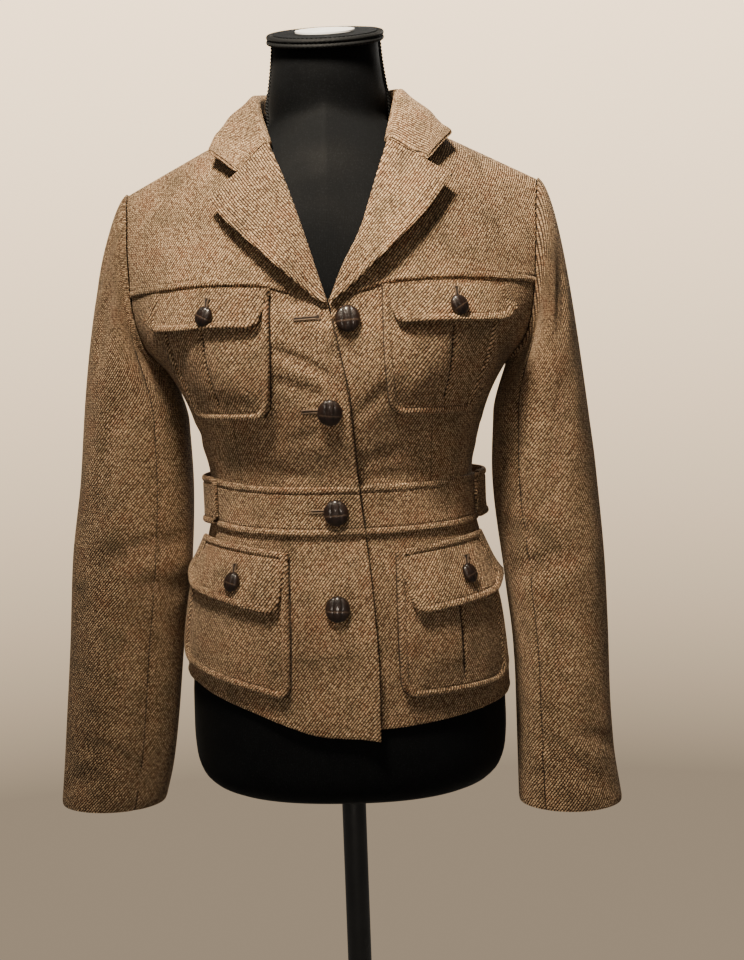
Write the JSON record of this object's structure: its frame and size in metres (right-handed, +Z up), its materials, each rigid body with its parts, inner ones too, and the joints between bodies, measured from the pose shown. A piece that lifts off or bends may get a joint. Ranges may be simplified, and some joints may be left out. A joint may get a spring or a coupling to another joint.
{
  "type": "utility jacket on dress form",
  "caption": "Fitted brown twill jacket with notched lapels, flapped patch pockets, a sewn waist belt and leather buttons, on a black limbless dress form with a pole and round base.",
  "frame": {"origin": "centre of the base's underside, where the stand meets the floor", "axes": "+Z up along the pole; the jacket's front faces -Y; +X is the wearer's left"},
  "size_m": [0.5324, 0.34, 1.4681],
  "materials": {
    "tweed": "brown twill weave with a soft nap, matt",
    "leather": "dark brown leather, satin",
    "form_cover": "black knit cover, matt",
    "braid": "black braid",
    "core": "white foam, matt",
    "stand_metal": "black paint, satin"
  },
  "bodies": {
    "root": {"front_right": "tweed", "front_left": "tweed", "front_yoke_right": "tweed", "front_yoke_left": "tweed", "back": "tweed", "collar": "tweed", "lapel_right": "tweed", "lapel_left": "tweed", "upper_sleeve_right": "tweed", "under_sleeve_right": "tweed", "upper_sleeve_left": "tweed", "under_sleeve_left": "tweed", "chest_pocket_right": "tweed", "chest_pocket_left": "tweed", "hip_pocket_right": "tweed", "hip_pocket_left": "tweed", "chest_flap_right": "tweed", "chest_flap_left": "tweed", "hip_flap_right": "tweed", "hip_flap_left": "tweed", "belt_right": "tweed", "belt_left": "tweed", "belt_back": "tweed", "front_button_1": "leather", "front_button_2": "leather", "front_button_3": "leather", "front_button_4": "leather", "chest_flap_button_right": "leather", "chest_flap_button_left": "leather", "hip_flap_button_right": "leather", "hip_flap_button_left": "leather", "form_body": "form_cover", "neck_trim": "braid", "neck_core": "core", "pole": "stand_metal", "base": "stand_metal"}
  },
  "joints": []
}
